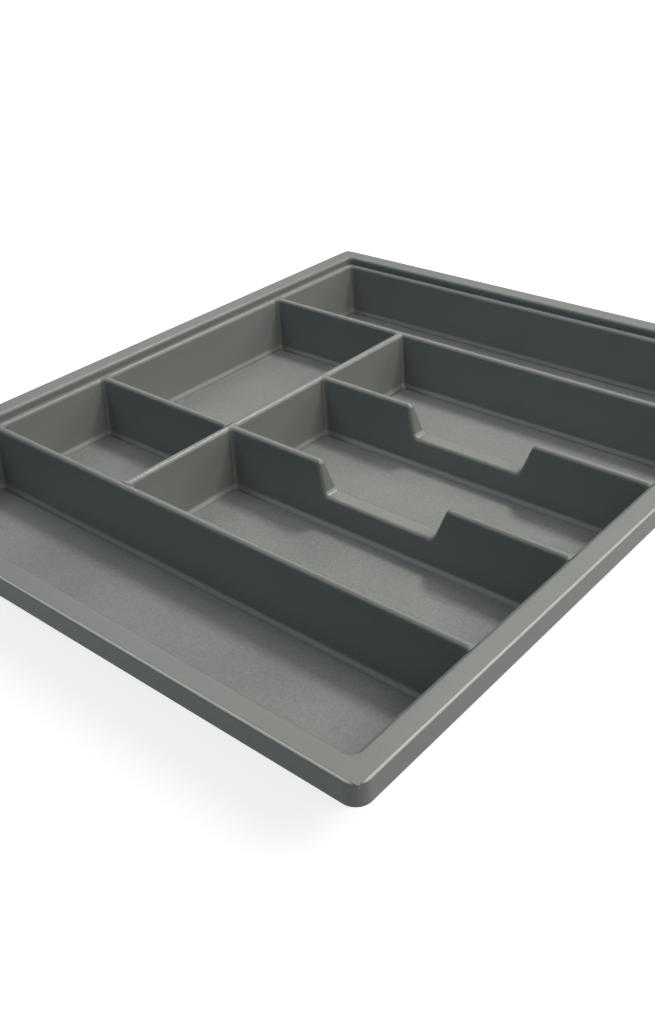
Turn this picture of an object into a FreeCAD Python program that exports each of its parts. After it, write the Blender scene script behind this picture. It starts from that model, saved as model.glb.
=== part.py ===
# A cutlery tray for a drawer, in millimetres. X runs left to right, Y front to back, Z up from the underside.
# The pan and the skirt frame stay together. The cross divider lifts out, and three dividers hang on it by tongues.
import FreeCAD, Part
import math
import os
import Sketcher

SIZES = (
    ("tray_width", 470.0, "outside of the rim, left to right"),
    ("tray_depth", 390.0, "outside of the rim, front to back"),
    ("tray_height", 45.5, "underside to the top of the flange"),
    ("floor_thickness", 2.0, "pan floor"),
    ("sheet_thickness", 2.0, "pan walls, ledge and flange"),
    ("draft_angle", 9.7, "lean of the walls and of the divider faces, in degrees"),
    ("foot_bevel", 3.6, "45 degree bevel between a leaning face and the floor"),
    ("foot_round", 2.5, "rounding from a leaning face into its bevel"),
    ("wall_corner_radius", 3.0, "upright corners of the compartments"),
    ("step_height", 5.4, "top of the flange down to the ledge"),
    ("ledge_width", 3.9, "ledge at the top of the walls"),
    ("ledge_round", 2.8, "rounding from the ledge into the walls"),
    ("flange_width", 13.2, "outside of the rim in to the step"),
    ("flange_round", 2.4, "rounding from the flange into the step"),
    ("flange_edge_round", 0.2, "rounding along the flange's outer edge"),
    ("flange_corner_radius", 1.0, "outer corners of the flange, which reach past the rounder bead"),
    ("step_corner_radius", 4.5, "inner corners of the step"),
    ("skirt_height", 12.4, "top of the flange down to the lower edge of the skirt"),
    ("skirt_thickness", 1.8, "skirt wall"),
    ("skirt_corner_radius", 8.0, "outer corners of the skirt"),
    ("bead_width", 1.54, "bead beside the edge of the flange"),
    ("bead_drop", 0.05, "top of the bead below the top of the flange"),
    ("bead_round", 1.2, "rounding along the bead"),
    ("shelf_thickness", 1.6, "shelf of the skirt frame under the flange"),
    ("seam_gap", 0.06, "clearance between the pan and the skirt frame"),
    ("left_bay_less", 2.2, "how much narrower the left bay is than the middle ones"),
    ("right_bay_extra", 0.5, "how much wider the right bay is than the middle ones"),
    ("back_bay_depth", 118.6, "back wall to the middle of the cross divider"),
    ("divider_top_width", 4.9, "divider across its top"),
    ("divider_round_share", 0.55, "rounding along the top, as a share of the top's width"),
    ("divider_shell", 2.0, "walls of the hollow dividers"),
    ("divider_cap", 6.0, "top of a divider down to the ceiling of its hollow"),
    ("join_tolerance", 0.0005, "how closely a divider's flared ends match its bar where they join"),
    ("seat_gap", 0.3, "clearance round a divider that lifts out"),
    ("notch_width", 76.0, "bottom of the finger notch"),
    ("notch_depth", 19.5, "finger notch below the divider's top"),
    ("notch_lean", 6.5, "how far each side of the notch leans out"),
    ("notch_corner_radius", 3.5, "bottom corners of the notch"),
    ("notch_shoulder_radius", 4.0, "shoulders of the notch"),
    ("tongue_width", 8.0, "tongue at the end of a divider"),
    ("tongue_reach", 2.5, "how far a tongue reaches into its pocket"),
    ("tongue_foot", 8.0, "lower end of a tongue above the floor"),
    ("plinth_height", 3.0, "plinths on the floor inside the hollow dividers"),
    ("liner_thickness", 1.1, "floor liners"),
    ("liner_gap", 0.7, "liner edge to the bevel that it slopes with"),
)
SAME_PLACE = 1e-6

doc = FreeCAD.newDocument("cutlery_tray")
sheet = doc.addObject("Spreadsheet::Sheet", "Sizes")
for row, (alias, value, meaning) in enumerate(SIZES, start=1):
    sheet.set(f"A{row}", meaning)
    sheet.set(f"B{row}", str(value))
    sheet.setAlias(f"B{row}", alias)
doc.recompute()

# The leaning faces. Heights here are above the floor's upper face, where every divider stands.
LEAN = "tan(Sizes.draft_angle)"
RISE = "(Sizes.tray_height - Sizes.step_height - Sizes.floor_thickness)"
BEVEL = "Sizes.foot_bevel"
WALL_INSET = "(Sizes.flange_width + Sizes.ledge_width)"


def wall_half(span, height):
    """Half the opening between two facing walls at a height."""
    return f"(Sizes.{span} / 2 - {WALL_INSET} - ({RISE} - {height}) * {LEAN})"


def wall_foot(span):
    """Half the opening between two facing walls where their bevels meet the floor."""
    return f"({wall_half(span, BEVEL)} - {BEVEL})"


def divider_half(height):
    """Half the thickness of a divider at a height above its bevel."""
    return f"(Sizes.divider_top_width / 2 + ({RISE} - {height}) * {LEAN})"


DIVIDER_FOOT = f"({divider_half(BEVEL)} + {BEVEL})"


BAY_COUNT = 5
UNEVEN_BAYS = "(Sizes.right_bay_extra - Sizes.left_bay_less)"
BAY_PITCH = f"((Sizes.tray_width - 2 * {WALL_INSET} - {UNEVEN_BAYS}) / {BAY_COUNT})"


def bay_line(count):
    """Centre of the divider that closes a bay, counted from the left wall."""
    return f"({WALL_INSET} - Sizes.left_bay_less + {count} * {BAY_PITCH} - Sizes.tray_width / 2)"


LEFT_LONG_X = bay_line(1)
LEFT_BAY_X = bay_line(2)
RIGHT_BAY_X = bay_line(3)
RIGHT_LONG_X = bay_line(4)
CROSS_Y = f"(Sizes.tray_depth / 2 - {WALL_INSET} - Sizes.back_bay_depth)"
WALL_TOP_Y = wall_half("tray_depth", RISE)
NOTCH_Y = f"(({CROSS_Y} - {WALL_TOP_Y}) / 2)"


# Sketches and features that several pieces use.
def sketch_on(body, name, role, offset):
    """An empty sketch on one of the body's origin planes, moved along the plane's normal."""
    sketch = body.newObject("Sketcher::SketchObject", name)
    plane = next(feature for feature in body.Origin.OriginFeatures if feature.Role == role)
    sketch.AttachmentSupport = (plane, [""])
    sketch.MapMode = "FlatFace"
    sketch.setExpression("AttachmentOffset.Base.z", offset)
    return sketch


def bind(sketch, constraint, expression):
    """Adds a constraint and ties its value to an expression."""
    index = sketch.addConstraint(constraint)
    sketch.setExpression(f"Constraints[{index}]", expression)


def polygon(sketch, corners):
    """A closed outline of straight lines through corners that are pairs of expressions."""
    count = len(corners)
    first = sketch.GeometryCount
    turns = [2 * math.pi * step / count for step in range(count)]
    ring = [FreeCAD.Vector(math.cos(turn), math.sin(turn), 0) for turn in turns]
    for step in range(count):
        sketch.addGeometry(Part.LineSegment(ring[step], ring[(step + 1) % count]), False)
    for step, (x_place, y_place) in enumerate(corners):
        line = first + step
        following = first + (step + 1) % count
        sketch.addConstraint(Sketcher.Constraint("Coincident", line, 2, following, 1))
        bind(sketch, Sketcher.Constraint("DistanceX", -1, 1, line, 1, 1), x_place)
        bind(sketch, Sketcher.Constraint("DistanceY", -1, 1, line, 1, 1), y_place)


def rectangle(sketch, x_low, x_high, y_low, y_high):
    """A rectangle between four expressions."""
    polygon(sketch, ((x_low, y_low), (x_high, y_low), (x_high, y_high), (x_low, y_high)))


def rounded_rectangle(body, name, x_half, y_half, radius, level):
    """A sketch lying flat at a level: a rectangle about the origin with round corners."""
    sketch = sketch_on(body, name, "XY_Plane", level)
    quarter = math.pi / 2
    sides = ((1, 1), (-1, 1), (-1, -1), (1, -1))
    for corner, (x_side, y_side) in enumerate(sides):
        centre = FreeCAD.Vector(x_side, y_side, 0)
        circle = Part.Circle(centre, FreeCAD.Vector(0, 0, 1), 1)
        sketch.addGeometry(Part.ArcOfCircle(circle, corner * quarter, (corner + 1) * quarter), False)
    for corner in range(len(sides)):
        following = (corner + 1) % len(sides)
        start = sketch.getPoint(corner, 2)
        end = sketch.getPoint(following, 1)
        line = sketch.addGeometry(Part.LineSegment(start, end), False)
        sketch.addConstraint(Sketcher.Constraint("Tangent", corner, 2, line, 1))
        sketch.addConstraint(Sketcher.Constraint("Tangent", line, 2, following, 1))
    for corner, (x_side, y_side) in enumerate(sides):
        bind(sketch, Sketcher.Constraint("Radius", corner, 1), radius)
        x_centre = f"{x_side} * ({x_half} - {radius})"
        y_centre = f"{y_side} * ({y_half} - {radius})"
        bind(sketch, Sketcher.Constraint("DistanceX", -1, 1, corner, 3, x_side), x_centre)
        bind(sketch, Sketcher.Constraint("DistanceY", -1, 1, corner, 3, y_side), y_centre)
    return sketch


def sweep_up(body, name, sketch, length):
    """Pad along the sketch's normal."""
    feature = body.newObject("PartDesign::Pad", name)
    feature.Profile = sketch
    feature.setExpression("Length", length)
    return feature


def cut_down(body, name, sketch, depth):
    """Pocket against the sketch's normal."""
    feature = body.newObject("PartDesign::Pocket", name)
    feature.Profile = sketch
    feature.setExpression("Length", depth)
    return feature


def loft(body, kind, name, sketches):
    """Straight-sided loft between sketches, added to the body or cut from it."""
    feature = body.newObject(f"PartDesign::{kind}Loft", name)
    feature.Profile = sketches[0]
    feature.Sections = sketches[1:]
    feature.Ruled = True
    return feature


def fillet(body, name, base, wanted, radius):
    """Rounds the edges of a feature that pass a test."""
    doc.recompute()
    names = [f"Edge{number}" for number, edge in enumerate(base.Shape.Edges, start=1) if wanted(edge)]
    feature = body.newObject("PartDesign::Fillet", name)
    feature.Base = (base, names)
    feature.setExpression("Radius", radius)
    return feature


def same(one, other):
    return abs(one - other) < SAME_PLACE


def lies_at(edge, level):
    """True where the whole edge lies at one level."""
    return all(same(vertex.Z, level) for vertex in edge.Vertexes)


def lies_within(edge, outline):
    """True where the edge's ends lie inside a sketch's outline or on it."""
    box = outline.Shape.BoundBox
    reach_x = box.XMax + SAME_PLACE
    reach_y = box.YMax + SAME_PLACE
    return all(abs(vertex.X) < reach_x and abs(vertex.Y) < reach_y for vertex in edge.Vertexes)


# The hollow under each divider, as spans along its length. A span's end is a pair: at the floor and at the ceiling.
GRIP = "(Sizes.seat_gap + Sizes.divider_shell)"
TALL = f"({RISE} - Sizes.divider_cap)"
LOW = f"({RISE} - Sizes.notch_depth - Sizes.divider_shell)"
NOTCH_HALF = "(Sizes.notch_width / 2 + Sizes.notch_lean)"
WEB_HALF = f"(Sizes.tongue_width / 2 + {GRIP})"


def wall_end(side):
    """Hollow's end beside the front or the back wall."""
    at_floor = f"{side} * ({wall_foot('tray_depth')} - {GRIP})"
    at_ceiling = f"{side} * ({wall_half('tray_depth', TALL)} - {GRIP})"
    return at_floor, at_ceiling


def divider_end(line, side):
    """Hollow's end beside another divider, on one side of that divider's centre line."""
    at_floor = f"{line} + {side} * ({DIVIDER_FOOT} + {GRIP})"
    at_ceiling = f"{line} + {side} * ({divider_half(TALL)} + {GRIP})"
    return at_floor, at_ceiling


def web_end(line, side, reach):
    """Hollow's end beside an upright web."""
    place = f"{line} + {side} * {reach}"
    return place, place


long_spans = (
    (wall_end(-1), web_end(CROSS_Y, -1, WEB_HALF), TALL),
    (web_end(CROSS_Y, 1, WEB_HALF), wall_end(1), TALL),
)
cross_spans = (
    (divider_end(LEFT_LONG_X, 1), web_end(LEFT_BAY_X, -1, WEB_HALF), TALL),
    (web_end(LEFT_BAY_X, 1, WEB_HALF), web_end(RIGHT_BAY_X, -1, WEB_HALF), TALL),
    (web_end(RIGHT_BAY_X, 1, WEB_HALF), divider_end(RIGHT_LONG_X, -1), TALL),
)
short_spans = ((divider_end(CROSS_Y, 1), wall_end(1), TALL),)
BESIDE_NOTCH = f"({NOTCH_HALF} + Sizes.divider_shell)"
notched_spans = (
    (wall_end(-1), web_end(NOTCH_Y, -1, BESIDE_NOTCH), TALL),
    (web_end(NOTCH_Y, -1, NOTCH_HALF), web_end(NOTCH_Y, 1, NOTCH_HALF), LOW),
    (web_end(NOTCH_Y, 1, BESIDE_NOTCH), divider_end(CROSS_Y, -1), TALL),
)
# Each divider by name: the axis that it runs along, its centre line and its hollow.
dividers = {
    "left_long_divider": ("y", LEFT_LONG_X, long_spans),
    "right_long_divider": ("y", RIGHT_LONG_X, long_spans),
    "cross_divider": ("x", CROSS_Y, cross_spans),
    "short_divider": ("y", LEFT_BAY_X, short_spans),
    "left_notched_divider": ("y", LEFT_BAY_X, notched_spans),
    "right_notched_divider": ("y", RIGHT_BAY_X, notched_spans),
}


# The pan: floor, leaning walls, ledge, step and flange in one formed sheet of even thickness.
LEDGE_LEVEL = "(Sizes.tray_height - Sizes.step_height)"
RIM_LEVEL = "Sizes.tray_height"
BEVEL_LEVEL = f"(Sizes.floor_thickness + {BEVEL})"
OUT_OF_WALL = "(Sizes.sheet_thickness / cos(Sizes.draft_angle))"
OUT_OF_BEVEL = "(Sizes.sheet_thickness * sqrt(2))"
OUTER_KNEE = f"({BEVEL} - ({OUT_OF_BEVEL} - {OUT_OF_WALL}) / (1 - {LEAN}))"
FLANGE_INSET = "(Sizes.bead_width + Sizes.seam_gap)"
pan = doc.addObject("PartDesign::Body", "tray_pan")


def pan_outline(name, half, radius, level):
    """A rounded rectangle whose two half sizes come from one rule, for the width and for the depth."""
    return rounded_rectangle(pan, name, half("tray_width"), half("tray_depth"), radius, level)


outer_foot = pan_outline(
    "outer_foot", lambda span: f"({wall_foot(span)} - Sizes.floor_thickness + {OUT_OF_BEVEL})",
    "Sizes.wall_corner_radius", "0")
outer_knee = pan_outline(
    "outer_knee", lambda span: f"({wall_half(span, OUTER_KNEE)} + {OUT_OF_WALL})",
    "Sizes.wall_corner_radius", f"Sizes.floor_thickness + {OUTER_KNEE}")
outer_top = pan_outline(
    "outer_top", lambda span: f"({wall_half(span, RISE)} + {OUT_OF_WALL})",
    "Sizes.wall_corner_radius", LEDGE_LEVEL)
loft(pan, "Additive", "outer_bevel", [outer_foot, outer_knee])
loft(pan, "Additive", "outer_wall", [outer_knee, outer_top])
step_outline = pan_outline(
    "step_outline", lambda span: f"(Sizes.{span} / 2 - Sizes.flange_width + Sizes.sheet_thickness)",
    "(Sizes.step_corner_radius + Sizes.sheet_thickness)", f"{LEDGE_LEVEL} - Sizes.sheet_thickness")
sweep_up(pan, "step", step_outline, "Sizes.step_height + Sizes.sheet_thickness")
flange_outline = pan_outline(
    "flange_outline", lambda span: f"(Sizes.{span} / 2 - {FLANGE_INSET})",
    "Sizes.flange_corner_radius", f"{RIM_LEVEL} - Sizes.sheet_thickness")
sweep_up(pan, "flange", flange_outline, "Sizes.sheet_thickness")
recess_outline = pan_outline(
    "recess_outline", lambda span: f"(Sizes.{span} / 2 - Sizes.flange_width)",
    "Sizes.step_corner_radius", RIM_LEVEL)
cut_down(pan, "recess", recess_outline, "Sizes.step_height")
inner_top = pan_outline("inner_top", lambda span: wall_half(span, RISE), "Sizes.wall_corner_radius", LEDGE_LEVEL)
inner_knee = pan_outline("inner_knee", lambda span: wall_half(span, BEVEL), "Sizes.wall_corner_radius", BEVEL_LEVEL)
inner_foot = pan_outline("inner_foot", wall_foot, "Sizes.wall_corner_radius", "Sizes.floor_thickness")
loft(pan, "Subtractive", "inner_wall", [inner_top, inner_knee])
inner_bevel = loft(pan, "Subtractive", "inner_bevel", [inner_knee, inner_foot])
doc.recompute()
knee_level = inner_knee.Shape.BoundBox.ZMax
ledge_level = inner_top.Shape.BoundBox.ZMax
rim_level = recess_outline.Shape.BoundBox.ZMax
inner_knee_edge = fillet(
    pan, "inner_knee_edge", inner_bevel,
    lambda edge: lies_at(edge, knee_level) and lies_within(edge, inner_knee), "Sizes.foot_round")
ledge_edge = fillet(
    pan, "ledge_edge", inner_knee_edge,
    lambda edge: lies_at(edge, ledge_level) and lies_within(edge, inner_top), "Sizes.ledge_round")
flange_inside = fillet(
    pan, "flange_inside", ledge_edge,
    lambda edge: lies_at(edge, rim_level) and lies_within(edge, recess_outline), "Sizes.flange_round")
fillet(
    pan, "flange_outside", flange_inside,
    lambda edge: lies_at(edge, rim_level) and not lies_within(edge, step_outline), "Sizes.flange_edge_round")

# Low plinths on the floor, which the hollow dividers drop over.
PLINTH_CLEAR = f"(Sizes.plinth_height * {LEAN} + Sizes.seat_gap)"
PLINTH_HALF = f"({divider_half('0')} - Sizes.divider_shell - {PLINTH_CLEAR})"
plinth_outlines = sketch_on(pan, "plinth_outlines", "XY_Plane", "Sizes.floor_thickness")
for axis, line, spans in dividers.values():
    for (low, _), (high, _), _ in spans:
        along = (f"{low} + {PLINTH_CLEAR}", f"{high} - {PLINTH_CLEAR}")
        across = (f"{line} - {PLINTH_HALF}", f"{line} + {PLINTH_HALF}")
        if axis == "x":
            rectangle(plinth_outlines, *along, *across)
        else:
            rectangle(plinth_outlines, *across, *along)
sweep_up(pan, "plinths", plinth_outlines, "Sizes.plinth_height")


# The skirt frame: a skirt with rounded corners, a bead beside the flange and a shelf that the flange lies on.
frame = doc.addObject("PartDesign::Body", "rim_frame")


def frame_outline(name, inset, radius, level):
    """A rounded rectangle set in from the outside of the rim."""
    x_half = f"(Sizes.tray_width / 2 - {inset})"
    y_half = f"(Sizes.tray_depth / 2 - {inset})"
    return rounded_rectangle(frame, name, x_half, y_half, radius, level)


SKIRT_LEVEL = f"({RIM_LEVEL} - Sizes.skirt_height)"
SHELF_LEVEL = f"({RIM_LEVEL} - Sizes.sheet_thickness)"
SHELF_INSET = "(Sizes.flange_width - Sizes.sheet_thickness - Sizes.seam_gap)"
skirt_outline = frame_outline("skirt_outline", "0", "Sizes.skirt_corner_radius", SKIRT_LEVEL)
skirt_block = sweep_up(frame, "skirt_block", skirt_outline, "Sizes.skirt_height - Sizes.bead_drop")
doc.recompute()
bead_level = skirt_block.Shape.BoundBox.ZMax
fillet(frame, "bead", skirt_block, lambda edge: lies_at(edge, bead_level), "Sizes.bead_round")
seat_outline = frame_outline(
    "seat_outline", "Sizes.bead_width", "(Sizes.flange_corner_radius + Sizes.seam_gap)", RIM_LEVEL)
cut_down(frame, "flange_seat", seat_outline, "Sizes.sheet_thickness")
opening_outline = frame_outline(
    "opening_outline", SHELF_INSET, "(Sizes.step_corner_radius + Sizes.sheet_thickness + Sizes.seam_gap)", RIM_LEVEL)
cut_down(frame, "opening", opening_outline, "Sizes.skirt_height")
under_outline = frame_outline(
    "under_outline", "Sizes.skirt_thickness", "(Sizes.skirt_corner_radius - Sizes.skirt_thickness)",
    f"{SHELF_LEVEL} - Sizes.shelf_thickness")
cut_down(frame, "under_shelf", under_outline, "Sizes.skirt_height")


# The free space inside the pan, one clearance away from its walls, which trims the dividers' ends there.
space = doc.addObject("PartDesign::Body", "inside_space")


def space_outline(name, half, radius, level):
    """A rounded rectangle one seat gap inside the pan."""
    x_half = f"({half('tray_width')} - Sizes.seat_gap)"
    y_half = f"({half('tray_depth')} - Sizes.seat_gap)"
    return rounded_rectangle(space, name, x_half, y_half, radius, level)


ABOVE_LEDGE = f"({LEDGE_LEVEL} + Sizes.seat_gap)"
space_foot = space_outline("space_foot", wall_foot, "Sizes.wall_corner_radius", "Sizes.floor_thickness")
space_knee = space_outline(
    "space_knee", lambda span: wall_half(span, BEVEL), "Sizes.wall_corner_radius", BEVEL_LEVEL)
space_top = space_outline(
    "space_top", lambda span: wall_half(span, f"({RISE} + Sizes.seat_gap)"), "Sizes.wall_corner_radius", ABOVE_LEDGE)
loft(space, "Additive", "space_bevel", [space_foot, space_knee])
loft(space, "Additive", "space_walls", [space_knee, space_top])
space_step = space_outline(
    "space_step", lambda span: f"(Sizes.{span} / 2 - Sizes.flange_width)", "Sizes.step_corner_radius", ABOVE_LEDGE)
space_block = sweep_up(space, "space_block", space_step, "Sizes.step_height")
doc.recompute()
space_level = space_top.Shape.BoundBox.ZMax
fillet(
    space, "space_edge", space_block,
    lambda edge: lies_at(edge, space_level) and lies_within(edge, space_top), "Sizes.ledge_round + Sizes.seat_gap")


# Each compartment by the foot of the faces round it: left, right, front and back.
LEFT_WALL = f"-{wall_foot('tray_width')}"
RIGHT_WALL = wall_foot("tray_width")
FRONT_WALL = f"-{wall_foot('tray_depth')}"
BACK_WALL = wall_foot("tray_depth")


def beside(line, side):
    """Foot of a divider on one side of its centre line."""
    return f"{line} + {side} * {DIVIDER_FOOT}"


compartments = {
    "left_long": (LEFT_WALL, beside(LEFT_LONG_X, -1), FRONT_WALL, BACK_WALL),
    "right_long": (beside(RIGHT_LONG_X, 1), RIGHT_WALL, FRONT_WALL, BACK_WALL),
    "back_left": (beside(LEFT_LONG_X, 1), beside(LEFT_BAY_X, -1), beside(CROSS_Y, 1), BACK_WALL),
    "back_right": (beside(LEFT_BAY_X, 1), beside(RIGHT_LONG_X, -1), beside(CROSS_Y, 1), BACK_WALL),
    "front_left": (beside(LEFT_LONG_X, 1), beside(LEFT_BAY_X, -1), FRONT_WALL, beside(CROSS_Y, -1)),
    "front_middle": (beside(LEFT_BAY_X, 1), beside(RIGHT_BAY_X, -1), FRONT_WALL, beside(CROSS_Y, -1)),
    "front_right": (beside(RIGHT_BAY_X, 1), beside(RIGHT_LONG_X, -1), FRONT_WALL, beside(CROSS_Y, -1)),
}


def compartment_outline(body, name, spread, level):
    """A compartment's outline in the body's own frame, spread out from the foot by one amount on all sides."""
    x_low, x_high, y_low, y_high = compartments[name]
    x_half = f"((({x_high}) - ({x_low})) / 2 + {spread})"
    y_half = f"((({y_high}) - ({y_low})) / 2 + {spread})"
    return rounded_rectangle(body, "outline", x_half, y_half, "Sizes.wall_corner_radius", level)


def centre_in(body, name):
    """Stands a body on the floor in the middle of a compartment."""
    x_low, x_high, y_low, y_high = compartments[name]
    body.setExpression("Placement.Base.x", f"(({x_low}) + ({x_high})) / 2")
    body.setExpression("Placement.Base.y", f"(({y_low}) + ({y_high})) / 2")
    body.setExpression("Placement.Base.z", "Sizes.floor_thickness")


# The free space in each compartment. It widens from foot to mouth and has round corners, which the dividers' ends
# flare into.
MOUTH_SPREAD = f"({BEVEL} + ({RISE} - {BEVEL}) * {LEAN})"
DIVIDER_ROUND = "(Sizes.divider_top_width * Sizes.divider_round_share)"
spaces = {}
for name in compartments:
    hollow_space = doc.addObject("PartDesign::Body", f"{name}_space")
    foot = compartment_outline(hollow_space, name, "0", "0")
    knee = compartment_outline(hollow_space, name, BEVEL, BEVEL)
    mouth = compartment_outline(hollow_space, name, MOUTH_SPREAD, RISE)
    above = compartment_outline(hollow_space, name, f"({MOUTH_SPREAD} + Sizes.divider_top_width)", RISE)
    loft(hollow_space, "Additive", "bevels", [foot, knee])
    loft(hollow_space, "Additive", "faces", [knee, mouth])
    open_top = sweep_up(hollow_space, "open_top", above, "Sizes.step_height")
    doc.recompute()
    space_knee_level = knee.Shape.BoundBox.ZMax
    mouth_level = mouth.Shape.BoundBox.ZMax
    knee_edge = fillet(
        hollow_space, "knee_edge", open_top, lambda edge: lies_at(edge, space_knee_level), "Sizes.foot_round")
    fillet(
        hollow_space, "mouth_edge", knee_edge,
        lambda edge: lies_at(edge, mouth_level) and lies_within(edge, mouth), DIVIDER_ROUND)
    centre_in(hollow_space, name)
    spaces[name] = hollow_space


# The dividers: wedge-shaped bars with a rounded top and a bevelled foot, flared at the ends.
def runs_along(edge, axis):
    """True for an edge whose ends differ along one axis only."""
    start = edge.Vertexes[0].Point
    end = edge.Vertexes[-1].Point
    return all(same(getattr(start, other), getattr(end, other)) != (other == axis) for other in "xyz")


def cut_notch(body, bar):
    """The finger notch, with round bottom corners and shoulders."""
    bottom = f"({RISE} - Sizes.notch_depth)"
    above = f"({RISE} + Sizes.notch_depth)"
    outline = sketch_on(body, "notch_outline", "XZ_Plane", "0")
    bottom_half = "Sizes.notch_width / 2"
    above_half = f"({bottom_half} + 2 * Sizes.notch_lean)"
    polygon(outline, (
        (f"{NOTCH_Y} - {bottom_half}", bottom), (f"{NOTCH_Y} + {bottom_half}", bottom),
        (f"{NOTCH_Y} + {above_half}", above), (f"{NOTCH_Y} - {above_half}", above)))
    notch = body.newObject("PartDesign::Pocket", "notch")
    notch.Profile = outline
    notch.Type = "ThroughAll"
    notch.Midplane = True
    doc.recompute()
    box = bar.Shape.BoundBox

    def crosses(edge):
        place = edge.Vertexes[0].X
        return runs_along(edge, "y") and not same(place, box.XMin) and not same(place, box.XMax)

    corners = fillet(
        body, "notch_corners", notch, lambda edge: crosses(edge) and not lies_at(edge, box.ZMax),
        "Sizes.notch_corner_radius")
    return fillet(
        body, "notch_shoulders", corners, lambda edge: crosses(edge) and lies_at(edge, box.ZMax),
        "Sizes.notch_shoulder_radius")


def stand_along(body, axis, line):
    """Stands a body that runs along its own X axis on the floor, along a divider's centre line."""
    if axis == "y":
        body.Placement = FreeCAD.Placement(FreeCAD.Vector(), FreeCAD.Rotation(FreeCAD.Vector(0, 0, 1), 90))
    body.setExpression("Placement.Base.x" if axis == "y" else "Placement.Base.y", line)
    body.setExpression("Placement.Base.z", "Sizes.floor_thickness")


def divider_bar(name, axis, line, low, high, swell, notched):
    """A solid bar along its own X axis, stood on the floor along its centre line, and swollen all round."""
    body = doc.addObject("PartDesign::Body", name)
    top = f"({RISE} + {swell})"
    foot_half = f"({DIVIDER_FOOT} + {swell})"
    knee_half = f"({divider_half(BEVEL)} + {swell})"
    top_half = f"({divider_half(top)} + {swell})"
    profile = sketch_on(body, "profile", "YZ_Plane", low)
    polygon(profile, (
        (f"-{foot_half}", "0"), (foot_half, "0"), (knee_half, BEVEL),
        (top_half, top), (f"-{top_half}", top), (f"-{knee_half}", BEVEL)))
    shape = sweep_up(body, "bar", profile, f"({high}) - ({low})")
    doc.recompute()
    top_level = shape.Shape.BoundBox.ZMax
    bar_knee_level = sheet.get("foot_bevel")
    shape = fillet(
        body, "knee_edges", shape, lambda edge: runs_along(edge, "x") and lies_at(edge, bar_knee_level),
        f"Sizes.foot_round - {swell}")
    doc.recompute()
    if notched:
        shape = cut_notch(body, shape)
    fillet(
        body, "top_edges", shape, lambda edge: runs_along(edge, "x") and lies_at(edge, top_level),
        f"{DIVIDER_ROUND} + {swell}")
    stand_along(body, axis, line)
    return body


def tapering_hollow(name, axis, line, span):
    """The block of a hollow that narrows towards its ceiling, along one span of a divider."""
    body = doc.addObject("PartDesign::Body", name)
    low, high, ceiling = span
    sketches = []
    for end, level in enumerate(("0", ceiling)):
        half = f"({divider_half(level)} - Sizes.divider_shell)"
        sketch = sketch_on(body, f"section_{end}", "XY_Plane", level)
        rectangle(sketch, low[end], high[end], f"-{half}", half)
        sketches.append(sketch)
    loft(body, "Additive", "hollow", sketches)
    stand_along(body, axis, line)
    return body


# A tongue tapers out of a divider's leaning end. Its upright face slides up out of a pocket in the carrying divider.
TONGUE_TIP = f"({divider_half('Sizes.tongue_foot')} - Sizes.tongue_reach)"
TONGUE_ROOT = f"({divider_half('Sizes.tongue_foot')} + {GRIP})"
TONGUE_TOP = f"({RISE} - ({TONGUE_TIP} - Sizes.seat_gap - Sizes.divider_top_width / 2) / {LEAN})"


def tongue(name, axis, line, carrier, side, gap):
    """The block of a tongue on one side of its carrier, or with a gap the block of its pocket."""
    block = doc.addObject("Part::Box", name)
    tip = f"({TONGUE_TIP} - {gap})"
    reach = f"({TONGUE_ROOT} - {tip})"
    width = f"(Sizes.tongue_width + 2 * {gap})"
    start = f"({carrier} + {tip})" if side > 0 else f"({carrier} - {TONGUE_ROOT})"
    beside = f"({line} - {width} / 2)"
    foot = f"(Sizes.tongue_foot - {gap})"
    along_x = axis == "x"
    block.setExpression("Length", reach if along_x else width)
    block.setExpression("Width", width if along_x else reach)
    block.setExpression("Height", f"{TONGUE_TOP} - {foot}")
    block.setExpression("Placement.Base.x", start if along_x else beside)
    block.setExpression("Placement.Base.y", beside if along_x else start)
    block.setExpression("Placement.Base.z", f"Sizes.floor_thickness + {foot}")
    return block


def combine(kind, name, base, tool):
    """A boolean of two objects of the document."""
    result = doc.addObject(f"Part::{kind}", name)
    result.Base = base
    result.Tool = tool
    return result


def flared_end(name, axis, line, low, high, neighbours):
    """The end block of a divider between two places, shaped by the compartments beside it."""
    block = doc.addObject("Part::Box", f"{name}_block")
    length = f"(({high}) - ({low}))"
    half = f"({DIVIDER_FOOT} + Sizes.wall_corner_radius)"
    along_x = axis == "x"
    block.setExpression("Length", length if along_x else f"2 * {half}")
    block.setExpression("Width", f"2 * {half}" if along_x else length)
    block.setExpression("Height", RISE)
    block.setExpression("Placement.Base.x", low if along_x else f"{line} - {half}")
    block.setExpression("Placement.Base.y", f"{line} - {half}" if along_x else low)
    block.setExpression("Placement.Base.z", "Sizes.floor_thickness")
    piece = block
    for neighbour in neighbours:
        piece = combine("Cut", f"{name}_beside_{neighbour}", piece, spaces[neighbour])
    return piece


# Each divider's ends, low then high: what it meets there and the compartments on both sides of that end.
PAST_WALL = f"({WALL_TOP_Y} + Sizes.ledge_width)"
divider_ends = {
    "left_long_divider": (("wall", ("left_long", "front_left")), ("wall", ("left_long", "back_left"))),
    "right_long_divider": (("wall", ("front_right", "right_long")), ("wall", ("back_right", "right_long"))),
    "cross_divider": (("left_long_divider", ("front_left", "back_left")),
                      ("right_long_divider", ("front_right", "back_right"))),
    "short_divider": (("cross_divider", ("back_left", "back_right")), ("wall", ("back_left", "back_right"))),
    "left_notched_divider": (("wall", ("front_left", "front_middle")),
                             ("cross_divider", ("front_left", "front_middle"))),
    "right_notched_divider": (("wall", ("front_middle", "front_right")),
                              ("cross_divider", ("front_middle", "front_right"))),
}


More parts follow.
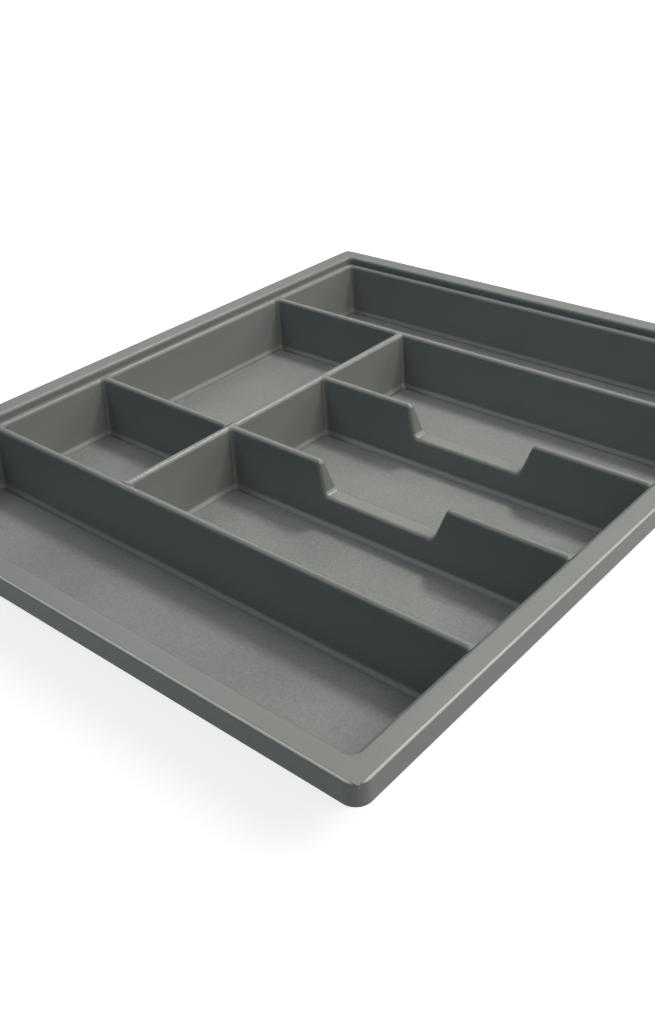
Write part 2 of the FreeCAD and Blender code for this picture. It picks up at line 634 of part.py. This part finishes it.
def end_places(meets, side):
    """Where a divider ends and where its flare is sure to have run out, at its low or its high end."""
    run_out = "2 * Sizes.wall_corner_radius"
    if meets == "wall":
        return f"{side} * {PAST_WALL}", f"{side} * ({wall_foot('tray_depth')} - {run_out})"
    met_line = dividers[meets][1]
    return met_line, f"{met_line} - {side} * ({DIVIDER_FOOT} + {run_out})"



# Each T-joint: the divider with the tongue, the divider that carries it, and the side of the carrier.
t_joints = (
    ("cross_divider", "left_long_divider", 1),
    ("cross_divider", "right_long_divider", -1),
    ("short_divider", "cross_divider", 1),
    ("left_notched_divider", "cross_divider", -1),
    ("right_notched_divider", "cross_divider", -1),
)
carriers = {carrier for _, carrier, _ in t_joints}
rooms = {}
for name in sorted(carriers):
    axis, line, _ = dividers[name]
    (low_meets, _), (high_meets, _) = divider_ends[name]
    low, _ = end_places(low_meets, -1)
    high, _ = end_places(high_meets, 1)
    rooms[name] = divider_bar(f"{name}_room", axis, line, low, high, "Sizes.seat_gap", False)

nodes = {"tray_pan": pan, "rim_frame": frame}
for name, (axis, line, spans) in dividers.items():
    (low_meets, low_neighbours), (high_meets, high_neighbours) = divider_ends[name]
    low, low_run_out = end_places(low_meets, -1)
    high, high_run_out = end_places(high_meets, 1)
    lengths = [divider_bar(f"{name}_bar", axis, line, low_run_out, high_run_out, "0", "notched" in name)]
    for end, meets, start, stop, neighbours in (
            ("low", low_meets, low, low_run_out, low_neighbours),
            ("high", high_meets, high_run_out, high, high_neighbours)):
        flare = flared_end(f"{name}_{end}_end", axis, line, start, stop, neighbours)
        if meets == "wall":
            flare = combine("Common", f"{name}_{end}_end_inside", flare, space)
        else:
            flare = combine("Cut", f"{name}_{end}_end_coped", flare, rooms[meets])
        lengths.append(flare)
    doc.recompute()
    bar, *flares = (length.Shape for length in lengths)
    piece = doc.addObject("Part::Feature", f"{name}_with_ends")
    piece.Shape = bar.fuse(flares, sheet.get("join_tolerance")).removeSplitter()
    for number, span in enumerate(spans, start=1):
        hollow = tapering_hollow(f"{name}_hollow_{number}", axis, line, span)
        piece = combine("Cut", f"{name}_hollowed", piece, hollow)
    for owner, carrier, side in t_joints:
        if owner == name:
            block = tongue(f"{name}_tongue", axis, line, dividers[carrier][1], side, "0")
            piece = combine("Fuse", f"{name}_tongued", piece, block)
        if carrier == name:
            owner_axis, owner_line, _ = dividers[owner]
            block = tongue(f"{owner}_pocket", owner_axis, owner_line, line, side, "Sizes.seat_gap")
            piece = combine("Cut", f"{name}_pocketed", piece, block)
    nodes[name] = piece


# The floor liners: one loose mat for each compartment, with edges that slope just clear of the bevels round it.
for name in compartments:
    liner = doc.addObject("PartDesign::Body", f"{name}_liner")
    outlines = []
    for level in ("0", "Sizes.liner_thickness"):
        outlines.append(compartment_outline(liner, name, f"({level} - Sizes.liner_gap)", level))
    loft(liner, "Additive", "mat", outlines)
    centre_in(liner, name)
    nodes[f"{name}_liner"] = liner

# Every object is whole before anything is written.
doc.recompute()
for item in doc.Objects:
    if "Invalid" in item.State or "Error" in item.State:
        raise RuntimeError(f"{item.Label} failed: {item.State}")
for name, item in nodes.items():
    item.Label = name
    if item.Shape.isNull() or not item.Shape.isValid() or len(item.Shape.Solids) != 1:
        raise RuntimeError(f"{name} is not one valid solid")
os.makedirs("parts", exist_ok=True)
for item in nodes.values():
    item.Shape.exportStep(f"parts/{item.Label}.step")
    print(f"{item.Label}: {item.Shape.Volume:.0f} cubic millimetres")
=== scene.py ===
import math
import bmesh
import bpy
from mathutils import Matrix, Vector

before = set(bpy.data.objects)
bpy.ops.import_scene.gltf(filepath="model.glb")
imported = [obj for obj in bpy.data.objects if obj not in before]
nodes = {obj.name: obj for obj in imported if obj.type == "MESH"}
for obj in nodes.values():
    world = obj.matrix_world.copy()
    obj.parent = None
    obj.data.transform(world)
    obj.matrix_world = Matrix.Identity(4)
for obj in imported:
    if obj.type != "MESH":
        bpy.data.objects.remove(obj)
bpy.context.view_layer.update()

# The pan: one formed sheet of grey satin plastic with the floor, the leaning walls, the ledge and the flange.
# Its mould is spark-eroded, which leaves a fine even grain with little gloss. At the foot of the bevels,
# beside the liners, a thin dark line of painted shade stands in for the shade in the crease there.
PLASTIC_DARK = (0.182, 0.188, 0.181)
PLASTIC_LIGHT = (0.222, 0.228, 0.22)
FINE_GRAINS_PER_METRE = 1500
FINE_RELIEF = 0.0001
CLOUDS_PER_METRE = 14.0
PIT_SHARE_OF_TONE = 0.6
CELL_SHARE_OF_RELIEF = 0.6
TONE_LOW = 0.3
TONE_HIGH = 0.7
GLOSS_SWING = 0.05
GRAIN_STRENGTH = 0.35
UPWARD_SLOPE = (0.1, 0.3)
# Painted shade: a dark colour for the lowest band of the bevels, just above the liners.
PAINTED_SHADE_COLOUR = (0.115, 0.118, 0.115)
PAINTED_SHADE_HEIGHTS = (0.0041, 0.0033)


def make_grain_group():
    """Grain of a moulded face: fine pits over a faint cloudiness, at a size that each material sets."""
    group = bpy.data.node_groups.new("moulded_grain", "ShaderNodeTree")
    for name, kind in (("Position", "NodeSocketVector"), ("Grains per Metre", "NodeSocketFloat"),
                       ("Satin", "NodeSocketFloat")):
        group.interface.new_socket(name, in_out="INPUT", socket_type=kind)
    for name in ("Tone", "Roughness", "Height"):
        group.interface.new_socket(name, in_out="OUTPUT", socket_type="NodeSocketFloat")
    made = group.nodes
    join = group.links.new
    source = made.new("NodeGroupInput")
    result = made.new("NodeGroupOutput")
    pits = made.new("ShaderNodeTexNoise")
    pits.inputs["Detail"].default_value = 3.0
    pits.inputs["Roughness"].default_value = 0.6
    join(source.outputs["Position"], pits.inputs["Vector"])
    join(source.outputs["Grains per Metre"], pits.inputs["Scale"])
    cells = made.new("ShaderNodeTexVoronoi")
    cells.feature = "SMOOTH_F1"
    cells.inputs["Smoothness"].default_value = 0.6
    join(source.outputs["Position"], cells.inputs["Vector"])
    join(source.outputs["Grains per Metre"], cells.inputs["Scale"])
    relief = made.new("ShaderNodeMath")
    relief.operation = "MULTIPLY_ADD"
    relief.inputs[1].default_value = CELL_SHARE_OF_RELIEF
    join(cells.outputs["Distance"], relief.inputs[0])
    join(pits.outputs["Fac"], relief.inputs[2])
    join(relief.outputs["Value"], result.inputs["Height"])
    clouds = made.new("ShaderNodeTexNoise")
    clouds.inputs["Scale"].default_value = CLOUDS_PER_METRE
    clouds.inputs["Detail"].default_value = 4.0
    join(source.outputs["Position"], clouds.inputs["Vector"])
    tone = made.new("ShaderNodeMix")
    tone.data_type = "FLOAT"
    tone.inputs["Factor"].default_value = PIT_SHARE_OF_TONE
    join(clouds.outputs["Fac"], tone.inputs["A"])
    join(pits.outputs["Fac"], tone.inputs["B"])
    join(tone.outputs["Result"], result.inputs["Tone"])
    rough = made.new("ShaderNodeMapRange")
    rough.inputs["From Min"].default_value = TONE_LOW
    rough.inputs["From Max"].default_value = TONE_HIGH
    rough.inputs["To Min"].default_value = -GLOSS_SWING
    rough.inputs["To Max"].default_value = GLOSS_SWING
    join(tone.outputs["Result"], rough.inputs["Value"])
    total = made.new("ShaderNodeMath")
    join(rough.outputs["Result"], total.inputs[0])
    join(source.outputs["Satin"], total.inputs[1])
    join(total.outputs["Value"], result.inputs["Roughness"])
    return group


moulded_grain = make_grain_group()


def make_plastic(name, dark, light, grains_per_metre, satin, relief):
    """Moulded plastic between two near shades, with its grain as relief in metres."""
    material = bpy.data.materials.new(name)
    material.use_nodes = True
    made = material.node_tree.nodes
    join = material.node_tree.links.new
    shader = made["Principled BSDF"]
    place = made.new("ShaderNodeTexCoord")
    grain = made.new("ShaderNodeGroup")
    grain.node_tree = moulded_grain
    grain.inputs["Grains per Metre"].default_value = grains_per_metre
    grain.inputs["Satin"].default_value = satin
    join(place.outputs["Object"], grain.inputs["Position"])
    shades = made.new("ShaderNodeValToRGB")
    shades.color_ramp.elements[0].position = TONE_LOW
    shades.color_ramp.elements[0].color = (*dark, 1)
    shades.color_ramp.elements[1].position = TONE_HIGH
    shades.color_ramp.elements[1].color = (*light, 1)
    join(grain.outputs["Tone"], shades.inputs["Fac"])
    join(shades.outputs["Color"], shader.inputs["Base Color"])
    join(grain.outputs["Roughness"], shader.inputs["Roughness"])
    bump = made.new("ShaderNodeBump")
    bump.inputs["Strength"].default_value = GRAIN_STRENGTH
    bump.inputs["Distance"].default_value = relief
    join(grain.outputs["Height"], bump.inputs["Height"])
    join(bump.outputs["Normal"], shader.inputs["Normal"])
    return material


def tint_where(material, colour, heights):
    """Blends a plastic's upward faces towards another colour, from the first of two heights to the second."""
    made = material.node_tree.nodes
    join = material.node_tree.links.new
    shader = made["Principled BSDF"]
    place = made.new("ShaderNodeTexCoord")
    masks = []
    for output, (start, end) in (("Object", heights), ("Normal", UPWARD_SLOPE)):
        parts = made.new("ShaderNodeSeparateXYZ")
        join(place.outputs[output], parts.inputs["Vector"])
        mask = made.new("ShaderNodeMapRange")
        mask.interpolation_type = "SMOOTHSTEP"
        mask.inputs["From Min"].default_value = start
        mask.inputs["From Max"].default_value = end
        join(parts.outputs["Z"], mask.inputs["Value"])
        masks.append(mask.outputs["Result"])
    both = made.new("ShaderNodeMath")
    both.operation = "MULTIPLY"
    join(masks[0], both.inputs[0])
    join(masks[1], both.inputs[1])
    blend = made.new("ShaderNodeMix")
    blend.data_type = "RGBA"
    join(both.outputs["Value"], blend.inputs["Factor"])
    join(shader.inputs["Base Color"].links[0].from_socket, blend.inputs["A"])
    blend.inputs["B"].default_value = (*colour, 1)
    join(blend.outputs["Result"], shader.inputs["Base Color"])


def dress(node, material):
    """Gives a node of the frame its finish."""
    mesh = nodes[node].data
    mesh.materials.clear()
    mesh.materials.append(material)


satin_grey = make_plastic(
    "satin_grey", PLASTIC_DARK, PLASTIC_LIGHT, FINE_GRAINS_PER_METRE, satin=0.4, relief=FINE_RELIEF)
# Painted shade: the pan's bevels darken near their foot, in the crease beside the liners.
tint_where(satin_grey, PAINTED_SHADE_COLOUR, PAINTED_SHADE_HEIGHTS)
dress("tray_pan", satin_grey)

# The skirt frame: the turned-down skirt with its bead, bonded under the flange. It is the same plastic as the
# pan, but the bead's shoulder is painted pale, a painted highlight for the bright line along the rim's outer
# edge.
PAINTED_HIGHLIGHT_COLOUR = (0.42, 0.41, 0.39)
SHOULDER_HEIGHTS = (0.0448, 0.0452)
skirt_grey = make_plastic(
    "skirt_grey", PLASTIC_DARK, PLASTIC_LIGHT, FINE_GRAINS_PER_METRE, satin=0.35, relief=FINE_RELIEF)
# Painted highlight: the bead's shoulder blends to a pale colour.
tint_where(skirt_grey, PAINTED_HIGHLIGHT_COLOUR, SHOULDER_HEIGHTS)
dress("rim_frame", skirt_grey)

# The dividers: hollow wedge-shaped mouldings with rounded tops, of the same plastic as the pan. Their shine
# is slightly harder, so their tops catch the light. Two are fixed, and four lift out.
DIVIDER_SHINE = 0.7
divider_grey = make_plastic(
    "divider_grey", PLASTIC_DARK, PLASTIC_LIGHT, FINE_GRAINS_PER_METRE, satin=0.38, relief=FINE_RELIEF)
divider_shader = divider_grey.node_tree.nodes["Principled BSDF"]
divider_shader.inputs["Specular IOR Level"].default_value = DIVIDER_SHINE
# Painted shade: the dividers' bevels darken near their foot, in the crease beside the liners.
tint_where(divider_grey, PAINTED_SHADE_COLOUR, PAINTED_SHADE_HEIGHTS)
for divider in ("left_long_divider", "right_long_divider", "cross_divider", "short_divider",
                "left_notched_divider", "right_notched_divider"):
    dress(divider, divider_grey)

# The floor liners: thin soft mats of a rubbery plastic, laid loose in the seven compartments.
# Their grain is coarser and duller than the walls', so that cutlery doesn't slide.
LINER_DARK = (0.157, 0.163, 0.156)
LINER_LIGHT = (0.265, 0.271, 0.262)
COARSE_GRAINS_PER_METRE = 750
COARSE_RELIEF = 0.0006
liner_grey = make_plastic(
    "liner_grey", LINER_DARK, LINER_LIGHT, COARSE_GRAINS_PER_METRE, satin=0.54, relief=COARSE_RELIEF)
for liner in ("left_long_liner", "right_long_liner", "back_left_liner", "back_right_liner",
              "front_left_liner", "front_middle_liner", "front_right_liner"):
    dress(liner, liner_grey)

# The studio sheet: a wide sheet of matt paper under the tray. It glows for the camera, more so further out,
# so it is plain white where no shadow falls. It glows faintly for mirrored rays, and not for the rest.
SHEET_REACH = 6.0
PAPER_COLOUR = (0.46, 0.46, 0.46, 1)
MIRRORED_PAPER_GLOW = 0.38
NEAR_PAPER_GLOW = 0.82
FAR_PAPER_GLOW = 1.0
WHITENING_START = 0.7
WHITENING_END = 1.6
sheet_mesh = bpy.data.meshes.new("studio_sheet")
sheet_shape = bmesh.new()
bmesh.ops.create_grid(sheet_shape, x_segments=1, y_segments=1, size=SHEET_REACH)
sheet_shape.to_mesh(sheet_mesh)
sheet_shape.free()
studio_sheet = bpy.data.objects.new("studio_sheet", sheet_mesh)
bpy.context.scene.collection.objects.link(studio_sheet)
paper = bpy.data.materials.new("studio_paper")
paper.use_nodes = True
paper_nodes = paper.node_tree.nodes
paper_join = paper.node_tree.links.new
paper_shader = paper_nodes["Principled BSDF"]
paper_shader.inputs["Base Color"].default_value = PAPER_COLOUR
paper_shader.inputs["Roughness"].default_value = 0.9
paper_shader.inputs["Specular IOR Level"].default_value = 0.1
paper_shader.inputs["Emission Color"].default_value = (1, 1, 1, 1)
seen_by = paper_nodes.new("ShaderNodeLightPath")
reflected = paper_nodes.new("ShaderNodeMath")
reflected.operation = "MAXIMUM"
paper_join(seen_by.outputs["Is Glossy Ray"], reflected.inputs[0])
paper_join(seen_by.outputs["Is Transmission Ray"], reflected.inputs[1])
mirror_glow = paper_nodes.new("ShaderNodeMath")
mirror_glow.operation = "MULTIPLY"
mirror_glow.inputs[1].default_value = MIRRORED_PAPER_GLOW
paper_join(reflected.outputs["Value"], mirror_glow.inputs[0])
paper_place = paper_nodes.new("ShaderNodeTexCoord")
away = paper_nodes.new("ShaderNodeVectorMath")
away.operation = "LENGTH"
paper_join(paper_place.outputs["Object"], away.inputs[0])
whitening = paper_nodes.new("ShaderNodeMapRange")
whitening.inputs["From Min"].default_value = WHITENING_START
whitening.inputs["From Max"].default_value = WHITENING_END
whitening.inputs["To Min"].default_value = NEAR_PAPER_GLOW
whitening.inputs["To Max"].default_value = FAR_PAPER_GLOW
paper_join(away.outputs["Value"], whitening.inputs["Value"])
glow = paper_nodes.new("ShaderNodeMath")
glow.operation = "MULTIPLY_ADD"
paper_join(seen_by.outputs["Is Camera Ray"], glow.inputs[0])
paper_join(whitening.outputs["Result"], glow.inputs[1])
paper_join(mirror_glow.outputs["Value"], glow.inputs[2])
paper_join(glow.outputs["Value"], paper_shader.inputs["Emission Strength"])
sheet_mesh.materials.append(paper)

# Soft studio light: a small key on the right makes the compartments' shadows, and a large box over the front
# and a low one beside it light the floors and the walls. Weak boxes behind, above and on the left lift the
# rest, and the glint behind draws the bright line along the long dividers.
SOFTBOX_DISTANCE = 2.0


def add_softbox(name, azimuth, elevation, width, height, watts, colour):
    """A rectangular soft light that faces the tray; azimuth 0 is on its right."""
    lamp = bpy.data.lights.new(name, "AREA")
    lamp.shape = "RECTANGLE"
    lamp.size = width
    lamp.size_y = height
    lamp.energy = watts
    lamp.color = colour
    softbox = bpy.data.objects.new(name, lamp)
    level = math.cos(math.radians(elevation))
    towards = Vector((math.cos(math.radians(azimuth)) * level, math.sin(math.radians(azimuth)) * level,
                      math.sin(math.radians(elevation))))
    softbox.location = towards * SOFTBOX_DISTANCE
    softbox.rotation_euler = (-towards).to_track_quat("-Z", "Y").to_euler()
    bpy.context.scene.collection.objects.link(softbox)


add_softbox("right_key", 0, 57, 0.3, 0.3, 17.9, (0.99, 1.0, 1.0))
add_softbox("front_softbox", -72, 48, 1.2, 1.0, 18.6, (1.05, 1.0, 0.89))
add_softbox("low_right_softbox", -30, 25, 1.0, 0.6, 7.4, (1.03, 1.0, 0.87))
add_softbox("right_back_softbox", 40, 45, 1.0, 1.0, 3.7, (1.17, 1.0, 0.68))
add_softbox("far_back_softbox", 55, 35, 0.6, 0.6, 1.7, (1.05, 1.0, 1.21))
add_softbox("back_glint", 78, 52, 0.5, 0.5, 1.6, (0.97, 1.0, 1.03))
add_softbox("top_softbox", 0, 90, 1.4, 1.4, 1.9, (1.05, 1.0, 0.99))
add_softbox("left_back_fill", 138, 43, 0.6, 0.6, 2.8, (0.89, 1.0, 1.1))

# The air of the studio: plain white to the camera and a dim white to mirrored rays. To everything else it is
# a weak cool light that fills the shadows.
COOL_AIR_COLOUR = (0.15, 0.63, 1.0, 1)
COOL_AIR_LEVEL = 0.095
MIRRORED_AIR_SHARE = 0.18
studio_air = bpy.data.worlds.new("studio_air")
studio_air.use_nodes = True
air_nodes = studio_air.node_tree.nodes
air_join = studio_air.node_tree.links.new
backdrop = air_nodes["Background"]
air_path = air_nodes.new("ShaderNodeLightPath")
mirrored = air_nodes.new("ShaderNodeMath")
mirrored.operation = "MAXIMUM"
air_join(air_path.outputs["Is Glossy Ray"], mirrored.inputs[0])
air_join(air_path.outputs["Is Transmission Ray"], mirrored.inputs[1])
shown = air_nodes.new("ShaderNodeMath")
shown.operation = "MAXIMUM"
air_join(air_path.outputs["Is Camera Ray"], shown.inputs[0])
air_join(mirrored.outputs["Value"], shown.inputs[1])
brightness = air_nodes.new("ShaderNodeMath")
brightness.operation = "MULTIPLY_ADD"
brightness.inputs[1].default_value = MIRRORED_AIR_SHARE
air_join(mirrored.outputs["Value"], brightness.inputs[0])
air_join(air_path.outputs["Is Camera Ray"], brightness.inputs[2])
backdrop_level = air_nodes.new("ShaderNodeMapRange")
backdrop_level.inputs["To Min"].default_value = COOL_AIR_LEVEL
backdrop_level.inputs["To Max"].default_value = 1.0
air_join(brightness.outputs["Value"], backdrop_level.inputs["Value"])
air_join(backdrop_level.outputs["Result"], backdrop.inputs["Strength"])
backdrop_tint = air_nodes.new("ShaderNodeMix")
backdrop_tint.data_type = "RGBA"
backdrop_tint.inputs["A"].default_value = COOL_AIR_COLOUR
backdrop_tint.inputs["B"].default_value = (1, 1, 1, 1)
air_join(shown.outputs["Value"], backdrop_tint.inputs["Factor"])
air_join(backdrop_tint.outputs["Result"], backdrop.inputs["Color"])
bpy.context.scene.world = studio_air

# The camera: near the front left corner, looking down over the rim, turned slightly about its own axis.
# Its lens is given in pixels of a frame 1024 high.
FRAME_HEIGHT_PX = 1024
FOCAL_LENGTH_PX = 1091.7
NEAREST_SEEN = 0.01
camera_data = bpy.data.cameras.new("camera")
camera_data.sensor_fit = "VERTICAL"
camera_data.lens = camera_data.sensor_height * FOCAL_LENGTH_PX / FRAME_HEIGHT_PX
camera_data.clip_start = NEAREST_SEEN
camera = bpy.data.objects.new("camera", camera_data)
camera_place = Vector((-0.4556, -0.3828, 0.3524))
camera_heading = Vector((0.6315, 0.5622, -0.5339))
camera_roll = math.radians(-2.81)
facing = camera_heading.to_track_quat("-Z", "Y").to_matrix().to_4x4()
camera.matrix_world = Matrix.Translation(camera_place) @ facing @ Matrix.Rotation(camera_roll, 4, "Z")
bpy.context.scene.collection.objects.link(camera)
bpy.context.scene.camera = camera
bpy.context.scene.view_settings.view_transform = "Standard"
